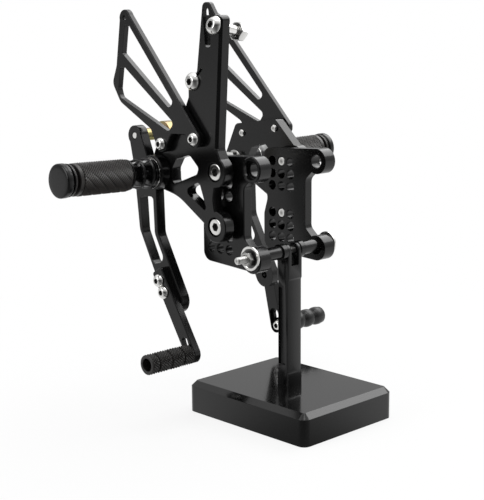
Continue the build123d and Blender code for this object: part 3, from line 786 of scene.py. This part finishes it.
class REARSETS_OT_spindles(bpy.types.Operator):
    """Turn the footpeg spindles and their end caps"""
    bl_idname = "rearsets.spindles"
    bl_label = "Spindles and caps"

    def execute(self, context):
        steps = context.scene.rearsets_pegs.steps
        gloss = bpy.data.materials["turned_black"]
        satin = bpy.data.materials["satin_black"]
        for side in SIDES:
            node = f"{side}_peg_spindle"
            start = reach(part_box(node), side)[0]
            stop = reach(upright(node, side), side)[1]
            grip_start = reach(upright(f"{side}_peg_grip", side), side)[0]
            axis = centre(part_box(f"{side}_peg_bolt"))
            journal, flange, core = JOURNAL * MM, FLANGE * MM, PEG_CORE * MM
            face = reach(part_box(f"{side}_lever_shims"), side)[1]
            rim = face + FLANGE_WIDTH * MM
            inner = lathe(f"{side}_journal", [
                (start, 0), (start, journal), (face, journal), (face, flange), (rim, flange), (rim, 0),
            ], steps)
            round_edges(inner, JOURNAL_EDGE * MM)
            settle(inner, node, gloss, axis, side)
            stub = grip_start - rim
            sunk = rim - ROOT_DEPTH * MM
            profile = [(sunk, 0), (sunk, ROOT * MM)]
            profile += [(rim + along * stub, radius * MM) for along, radius in STUB_PROFILE]
            profile += [(grip_start, core), (stop, core), (stop, 0)]
            outer = lathe(f"{side}_stub", profile, steps)
            round_edges(outer, STUB_EDGE * MM)
            settle(outer, node, gloss, axis, side, tilt=cant(side))

            near, far = reach(upright(f"{side}_peg_cap", side), side)
            profile = [(near + along * MM, radius * MM) for along, radius in CAP_PROFILE]
            profile = [(near, 0)] + profile + [(far, 0)]
            cap = lathe(f"{side}_cap", profile, steps)
            settle(cap, f"{side}_peg_cap", satin, axis, side, smooth=40, tilt=cant(side))
        return {"FINISHED"}


class REARSETS_OT_toe_pegs(bpy.types.Operator):
    """Knurl the brake lever's toe peg, and mould the gear lever's toe rubber"""
    bl_idname = "rearsets.toe_pegs"
    bl_label = "Toe pegs"

    def execute(self, context):
        sizes = context.scene.rearsets_pegs
        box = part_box("brake_toe_peg")
        start, stop = reach(box, "brake")
        radius = height_of(box) / 2
        bore, mouth = TOE_BORE * MM, TOE_MOUTH * MM
        floor = start + TOE_CLOSED * MM
        profile = [(start, 0)]
        profile += [(start + along * MM, radius - fall * MM) for along, fall in TOE_COLLAR]
        profile += [(stop - back * MM, radius - fall * MM) for back, fall in TOE_LIP]
        profile += [(stop, bore + mouth), (stop - mouth, bore), (floor, bore), (floor - TOE_POINT * MM, 0)]
        bands = [lathe("brake_toe_knurl", profile, sizes.steps)]
        collar, groove = TOE_COLLAR[-1]
        lip = TOE_LIP[0][0]
        first, spacing, gap = BAND_FIRST * MM, BAND_SPACING * MM, BAND_GAP * MM
        cuts = [first + number * spacing for number in range(BAND_GROOVES)]
        starts = [collar * MM] + [cut + gap for cut in cuts]
        stops = cuts + [stop - start - lip * MM]
        step, wall = radius - (groove - BAND_STEP) * MM, BAND_INSIDE * MM
        for low, high in zip(starts, stops):
            length = high - low
            band = roll_knurl(
                "band", length, radius, sizes.toe_knurl_pitch, sizes.toe_knurl_depth, stretch=1, left=0.0)
            draw_rim(band, 0.0, [(0.0, step), (0.0, wall), (length, wall)])
            draw_rim(band, length, [(length, step), (length, wall)])
            band.data.transform(Matrix.Translation((start + low, 0, 0)))
            bands.append(band)
        finish = knurled("toe_peg_black", context.scene.rearsets_finishes.knurl, radius)
        settle(join(bands), "brake_toe_peg", finish, centre(box), "brake", smooth=20)
        self.rubber(sizes.steps)
        return {"FINISHED"}

    def rubber(self, steps):
        """The gear lever's toe rubber, a row of bulges."""
        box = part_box("gear_toe_rubber")
        start, stop = reach(box, "gear")
        radius = height_of(box) / 2
        bulge = (stop - start) / RUBBER_BULGES
        profile = [(start, 0)]
        for number in range(RUBBER_BULGES):
            profile += [(start + (number + along) * bulge, radius * share) for along, share in RUBBER_BULGE]
        # The last bulge falls away to the outer end instead of its last two corners.
        profile = profile[:-2] + [(stop - back * MM, radius * share) for back, share in RUBBER_END]
        barrel = lathe("gear_toe_barrel", profile + [(stop, 0)], steps)
        settle(barrel, "gear_toe_rubber", bpy.data.materials["toe_rubber"], centre(box), "gear", smooth=50)


def threaded(start, stop, radius, pitch):
    """Corners of a threaded length, as a row of fine V grooves."""
    depth, crest = THREAD_DEPTH * pitch, THREAD_CREST * pitch
    corners = [(start, radius)]
    for number in range(int((stop - start) / pitch)):
        place = start + number * pitch
        corners += [(place + crest, radius), (place + pitch / 2, radius - depth)]
        corners += [(place + pitch - crest, radius)]
    return corners


def paint_shade(piece, shade):
    """Writes the painted shade on each corner of a steel piece, by its place along X and its radius."""
    painted_shades = piece.data.attributes.new("painted_shade", "FLOAT", "POINT")
    for vertex, painted_shade in zip(piece.data.vertices, painted_shades.data):
        painted_shade.value = min(1.0, shade(vertex.co.x, radius_at(vertex.co)))


def screw(name, box, side, head, key, crown, grooves):
    """Socket screw along X in a CAD screw's box.

    Its head has a radius, a height and the thread's radius, key is its socket's width, crown its head's
    outline and grooves its thread's length.
    """
    tip, far = reach(box, side)
    radius, height, thread = (size * MM for size in head)
    key *= MM
    seat = far - height
    chamfer = TIP_CHAMFER * MM
    shank = [(tip, 0), (tip, thread - chamfer), (tip + chamfer, thread)]
    if grooves:
        pitch = bpy.context.scene.rearsets_fasteners.thread_pitch * thread / (M8_THREAD * MM)
        stop = min(seat - MM, tip + chamfer + grooves * MM)
        shank += threaded(tip + chamfer, stop, thread, pitch)
    shank += [(seat, thread)]
    top = [(seat + along * height, radius * share) for along, share in crown]
    piece = lathe(name, shank + top + [(far, 0)], FASTENER_STEPS)
    socket = hex_bar("socket", key, far - SOCKET_DEPTH * height, far + height)
    shape_with(piece, socket, "DIFFERENCE")
    # Just outside the socket's corners
    mouth = 0.6 * key

    # Painted shade: dark inside the socket, grey in the tip's middle, and dark on the thread past its clean
    # end.
    def shade(along, reached):
        if along > seat:
            return (far - along) / (SOCKET_DARK * height) if reached < mouth else 0.0
        if along < tip + TOUCH and reached < thread / 2:
            return TIP_SHADE
        return THREAD_SHADE if tip + THREAD_SHOWN * MM < along < seat - MM else 0.0

    paint_shade(piece, shade)
    return piece


class REARSETS_OT_screws(bpy.types.Operator):
    """Turn the socket screws and bolts, with domed or low heads and hexagon sockets"""
    bl_idname = "rearsets.screws"
    bl_label = "Screws and bolts"

    def execute(self, context):
        steel = bpy.data.materials["stainless_steel"]
        # Each kind's head, hexagon key, head's outline and length of thread
        kinds = {
            "brake_cylinder_bolts": (CYLINDER_HEAD, 5.0, BUTTON, SHORT_THREAD),
            "stand_bolt": (SMALL_HEAD, 4.0, BUTTON, WHOLE_THREAD),
        }
        for side in SIDES:
            kinds[f"{side}_guard_screws"] = (SMALL_HEAD, 4.0, BUTTON, 0.0)
            kinds[f"{side}_toe_arm_screws"] = (SMALL_HEAD, 4.0, BUTTON, 0.0)
            kinds[f"{side}_hanger_bolts"] = (LOW_HEAD, 6.0, LOW_CAP, 0.0)
        for node, kind in kinds.items():
            side = "gear" if node == "stand_bolt" else node.split("_")[0]
            for number, (box, axis, tilt) in enumerate(placed(node)):
                piece = screw(f"{node.rstrip('s')}_{number + 1}", box, side, *kind)
                settle(piece, node, steel, axis, side, tilt=tilt)
        self.rod_bolt(steel)
        for side, other in (("brake", "gear"), ("gear", "brake")):
            node = f"{side}_toe_screw"
            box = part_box(node)
            piece = screw(f"{side}_toe_bolt", box, other, FLUSH_HEAD, 4.0, BUTTON, 0.0)
            settle(piece, node, steel, centre(box), other)
        return {"FINISHED"}

    def rod_bolt(self, steel):
        """The brake rod's hexagon bolt, its tip just below the lever's face."""
        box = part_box("brake_rod_bolt")
        near = reach(box, "brake")[0]
        tip = reach(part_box("brake_lever"), "brake")[1] - ROD_SUNK * MM
        radius, chamfer = ROD_THREAD * MM, ROD_CHAMFER * MM
        shank = lathe("brake_rod_bolt_shank", [
            (near + chamfer, 0), (near + chamfer, radius), (tip - chamfer, radius),
            (tip, radius - chamfer), (tip, 0),
        ], ROD_STEPS)
        top = hex_bar("brake_rod_bolt_head", height_of(box), near, near + ROD_HEAD * MM)
        round_edges(top, ROD_EDGE * MM)
        piece = settle(join([shank, top]), "brake_rod_bolt", steel, centre(box), "brake", smooth=25)


def rectangle(y, z):
    """A rectangle's (y, z) corners."""
    return [(y[0], z[0]), (y[1], z[0]), (y[1], z[1]), (y[0], z[1])]


def slab(name, outline, start, stop):
    """Fills a closed (y, z) outline and extrudes it along X; all in millimetres."""
    piece = begin(name, bpy.ops.mesh.primitive_circle_add, vertices=len(outline), fill_type="NGON")
    mesh = bmesh.from_edit_mesh(piece.data)
    for corner, (y, z) in zip(mesh.verts, outline):
        corner.co = (start * MM, y * MM, z * MM)
    bmesh.update_edit_mesh(piece.data)
    bpy.ops.mesh.select_all(action="SELECT")
    bpy.ops.mesh.extrude_region_move(TRANSFORM_OT_translate={"value": ((stop - start) * MM, 0, 0)})
    tidy()
    end()
    return piece


class REARSETS_OT_post(bpy.types.Operator):
    """Mill the stand's forked post, with a shallow scoop in two faces and a groove down the others"""
    bl_idname = "rearsets.post"
    bl_label = "Stand post"

    def execute(self, context):
        low, high = (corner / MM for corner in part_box("stand_post"))
        wide, half = high.x, high.y
        axle = high.z - half
        past, over, top = wide + OVERSHOOT, half + OVERSHOOT, high.z + OVERSHOOT
        turns = [pi * step / POST_STEPS for step in range(POST_STEPS + 1)]
        rounded = [(half * cos(turn), axle + half * sin(turn)) for turn in turns]
        piece = slab("post", [(half, low.z)] + rounded + [(-half, low.z)], low.x, wide)
        for face in (1, -1):
            scoop = [(face * over, SCOOP_LOW), (face * half, SCOOP_LOW)]
            for edge, way in ((SCOOP_LOW, 1), (SCOOP_HIGH, -1)):
                shares = [step / SCOOP_STEPS for step in range(1, SCOOP_STEPS + 1)]
                run = [(face * (half - SCOOP_DEPTH * sin(pi / 2 * share)), edge + way * SCOOP_RUN * share)
                       for share in shares]
                scoop += run[::way]
            scoop += [(face * half, SCOOP_HIGH), (face * over, SCOOP_HIGH)]
            shape_with(piece, slab("scoop", scoop, -past, past), "DIFFERENCE")
            sunk = face * (wide - GROOVE_DEPTH)
            groove = slab("groove", rectangle(GROOVE_Y, GROOVE_Z), sunk, face * past)
            shape_with(piece, groove, "DIFFERENCE")
        fork = rectangle((over, -over), (axle - FORK_DEPTH, top))
        shape_with(piece, slab("slot", fork, -FORK_WIDTH / 2, FORK_WIDTH / 2), "DIFFERENCE")
        hole, ends = POST_HOLE * MM, past * MM
        drill = lathe("drill", [(-ends, 0), (-ends, hole), (ends, hole), (ends, 0)], 2 * POST_STEPS)
        drill.data.transform(Matrix.Translation((0, 0, axle * MM)))
        shape_with(piece, drill, "DIFFERENCE")
        round_edges(piece, POST_EDGE * MM)
        settle(piece, "stand_post", bpy.data.materials["satin_black"])
        return {"FINISHED"}


class REARSETS_OT_nuts(bpy.types.Operator):
    """Cut the chamfered nuts, and turn the stepped washers"""
    bl_idname = "rearsets.nuts"
    bl_label = "Nuts and washers"

    def execute(self, context):
        steel = bpy.data.materials["stainless_steel"]
        sizes = context.scene.rearsets_fasteners
        for node, (thread, shade) in NUTS.items():
            for number, (box, axis, tilt) in enumerate(placed(node)):
                piece = self.nut(f"{node.rstrip('s')}_{number + 1}", box, thread * MM, sizes.nut_chamfer)
                near, far = reach(box, "brake")
                seat, tip = (near, far) if node == "stand_bolt_nut" else (far, near)
                # Painted shade over the whole nut, growing darker towards its seat.
                paint_shade(piece, lambda along, reached: shade + SEAT_SHADE * (tip - along) / (tip - seat))
                settle(piece, node, steel, axis, "brake", smooth=25, tilt=tilt)
        for node, hole in WASHERS.items():
            for number, box in enumerate(solids(node)):
                side = "brake" if box[0].x < 0 else "gear"
                piece = self.washer(f"{node.rstrip('s')}_{number + 1}", box, side, hole * MM, sizes.edge)
                settle(piece, node, steel, centre(box), side)
        return {"FINISHED"}

    def nut(self, name, box, thread, fall):
        """A hexagon nut along X, its corners chamfered at both ends and its thread's ends led in."""
        near, far = reach(box, "brake")
        across = height_of(box)
        flat, corner = NUT_FLAT * across / 2, NUT_CLEAR * across / sqrt(3)
        lead = NUT_LEAD * MM
        piece = hex_bar(name, across, near, far)
        barrel = lathe("barrel", [
            (near, 0), (near, flat), (near + fall, corner), (far - fall, corner), (far, flat), (far, 0),
        ], FASTENER_STEPS)
        shape_with(piece, barrel, "INTERSECT")
        drill = lathe("drill", [
            (near - MM, 0), (near - MM, thread + MM), (near + lead, thread), (far - lead, thread),
            (far + MM, thread + MM), (far + MM, 0),
        ], FASTENER_STEPS)
        shape_with(piece, drill, "DIFFERENCE")
        return piece

    def washer(self, name, box, side, hole, edge):
        """A washer along X with a shallow step in its outer face, and painted shade inside the step."""
        near, far = reach(box, side)
        radius = height_of(box) / 2
        inner, outer = (share * radius for share in WASHER_STEP)
        piece = lathe(name, [
            (near, hole), (near, radius), (far, radius), (far, outer), (far - edge, inner),
            (far - edge, hole), (near, hole),
        ], FASTENER_STEPS)
        round_edges(piece, edge)
        middle = (inner + outer) / 2
        paint_shade(piece, lambda along, reached: WASHER_SHADE if reached < middle else 0.0)
        return piece


class REARSETS_OT_stage(bpy.types.Operator):
    """Set the camera, the pale floor and the soft studio light"""
    bl_idname = "rearsets.stage"
    bl_label = "Stage"

    def execute(self, context):
        scene = context.scene
        stage = scene.rearsets_stage
        scene.view_settings.view_transform = "Standard"
        self.camera(scene, stage)
        self.floor()
        self.world(scene)
        for name, (place, size) in LIGHTS.items():
            self.light(name, place, size, stage.key_power if name == "key_light" else stage.fill_power)
        return {"FINISHED"}

    def camera(self, scene, stage):
        """The camera, turned to its heading, tilted down and rolled."""
        lens = bpy.data.cameras.new("camera")
        lens.sensor_fit = "VERTICAL"
        lens.sensor_height = CAMERA_FRAME
        lens.lens = stage.lens
        camera = bpy.data.objects.new("camera", lens)
        turn = Matrix.Rotation(stage.heading - pi / 2, 4, "Z")
        nod = Matrix.Rotation(pi / 2 - stage.tilt, 4, "X")
        roll = Matrix.Rotation(stage.roll, 4, "Z")
        camera.matrix_world = Matrix.Translation(stage.place) @ turn @ nod @ roll
        scene.collection.objects.link(camera)
        scene.camera = camera

    def light(self, name, place, size, power):
        """A soft light that faces the middle of the object."""
        middle = (Vector(CAD_BOX[0]) + Vector(CAD_BOX[1])) / 2
        lamp = bpy.data.lights.new(name, "AREA")
        lamp.shape = "ELLIPSE"
        lamp.size, lamp.size_y = size
        lamp.energy = power
        light = bpy.data.objects.new(name, lamp)
        light.location = place
        light.rotation_euler = (middle - Vector(place)).to_track_quat("-Z", "Y").to_euler()
        bpy.context.scene.collection.objects.link(light)

    def rays(self, wires, kind):
        """1 for one kind of ray, otherwise 0."""
        return wires.node("ShaderNodeLightPath", output=f"Is {kind} Ray")

    def surroundings(self, wires, place, level, lean):
        """Reflected light round the object: a level, stronger at the right by a lean, and dark in front."""
        # The front lies towards -X and -Y alike; the least distance keeps the middle from dividing by zero.
        diagonal, least = 0.707, 0.02
        across = wires.node("ShaderNodeSeparateXYZ", sockets={"Vector": place}, output="X")
        along = wires.node("ShaderNodeSeparateXYZ", sockets={"Vector": place}, output="Y")
        away = wires.math("SQRT", across * across + along * along) + least
        right = (across - along) * diagonal / away
        front = ((across + along) * -diagonal / away).clamp()
        return (level + right * lean) * (1 - front * FRONT_LOSS)

    def floor(self):
        """The floor: white to the camera but for the object's shadow, and a soft glow in reflections."""
        bpy.ops.object.select_all(action="DESELECT")
        bpy.ops.mesh.primitive_plane_add(size=FLOOR_SIZE, location=(0, 0, -FLOOR_DROP))
        floor = bpy.context.object
        floor.name = "floor"
        bpy.ops.object.transform_apply(location=True)
        material = bpy.data.materials.new("pale_floor")
        wires = bare_wires(material)
        matt = wires.node(
            "ShaderNodeBsdfDiffuse", sockets={"Color": (FLOOR_SHADE, FLOOR_SHADE, FLOOR_SHADE, 1.0)})
        place = wires.node("ShaderNodeTexCoord", output="Object")
        away = wires.node("ShaderNodeVectorMath", {"operation": "LENGTH"}, {0: place}, output=1)
        clear = ((away - SHADOW_NEAR) / SHADOW_RUN).clamp()
        seen, mirrored = self.rays(wires, "Camera"), self.rays(wires, "Glossy")
        level = seen + mirrored * self.surroundings(wires, place, *FLOOR_GLOW)
        white = wires.node("ShaderNodeEmission", sockets={"Strength": level})
        share = seen * (1 - SHADOW_SHARE + clear * SHADOW_SHARE) + mirrored
        mixed = wires.node("ShaderNodeMixShader", sockets={0: share, 1: matt, 2: white})
        wires.node("ShaderNodeOutputMaterial", sockets={"Surface": mixed})
        floor.data.materials.append(material)

    def world(self, scene):
        """The sky: white to the camera, an even light on the pieces, and a dome in reflections."""
        world = bpy.data.worlds.new("studio")
        wires = bare_wires(world)
        place = wires.node("ShaderNodeTexCoord", output="Generated")
        height = wires.node("ShaderNodeSeparateXYZ", sockets={"Vector": place}, output="Z")
        dome = ((height - DOME_FOOT) / DOME_RISE).clamp()
        glow = self.surroundings(wires, place, *SKY_GLOW) + dome * DOME_LEVEL
        strength = (self.rays(wires, "Camera") + self.rays(wires, "Diffuse") * SKY_LEVEL
                    + self.rays(wires, "Glossy") * glow)
        sky = wires.node("ShaderNodeBackground", sockets={"Color": (1, 1, 1, 1), "Strength": strength})
        wires.node("ShaderNodeOutputWorld", sockets={"Surface": sky})
        scene.world = world


OPERATORS = (
    REARSETS_OT_finishes, REARSETS_OT_grips, REARSETS_OT_spindles, REARSETS_OT_toe_pegs,
    REARSETS_OT_screws, REARSETS_OT_nuts, REARSETS_OT_post, REARSETS_OT_stage,
)
GROUPS = {
    "rearsets_pegs": RearSetPegs, "rearsets_fasteners": RearSetFasteners,
    "rearsets_finishes": RearSetFinishes, "rearsets_stage": RearSetStage,
}


class REARSETS_PT_panel(bpy.types.Panel):
    """Sizes, finishes and the steps that dress the rear sets"""
    bl_idname = "REARSETS_PT_panel"
    bl_label = "Rear Sets"
    bl_space_type = "VIEW_3D"
    bl_region_type = "UI"
    bl_category = "Rear Sets"

    def draw(self, context):
        for name, group in GROUPS.items():
            box = self.layout.box()
            for prop in group.__annotations__:
                box.prop(getattr(context.scene, name), prop)
        for operator in OPERATORS:
            self.layout.operator(operator.bl_idname)


def register():
    for name, group in GROUPS.items():
        bpy.utils.register_class(group)
        setattr(bpy.types.Scene, name, PointerProperty(type=group))
    for item in OPERATORS + (REARSETS_PT_panel,):
        bpy.utils.register_class(item)


def unregister():
    for item in (REARSETS_PT_panel,) + OPERATORS[::-1]:
        bpy.utils.unregister_class(item)
    for name, group in GROUPS.items():
        delattr(bpy.types.Scene, name)
        bpy.utils.unregister_class(group)


def main():
    register()
    bpy.ops.rearsets.finishes()
    bpy.ops.rearsets.grips()
    bpy.ops.rearsets.spindles()
    bpy.ops.rearsets.toe_pegs()
    bpy.ops.rearsets.screws()
    bpy.ops.rearsets.nuts()
    bpy.ops.rearsets.post()
    bpy.ops.rearsets.stage()


if __name__ == "__main__":
    main()
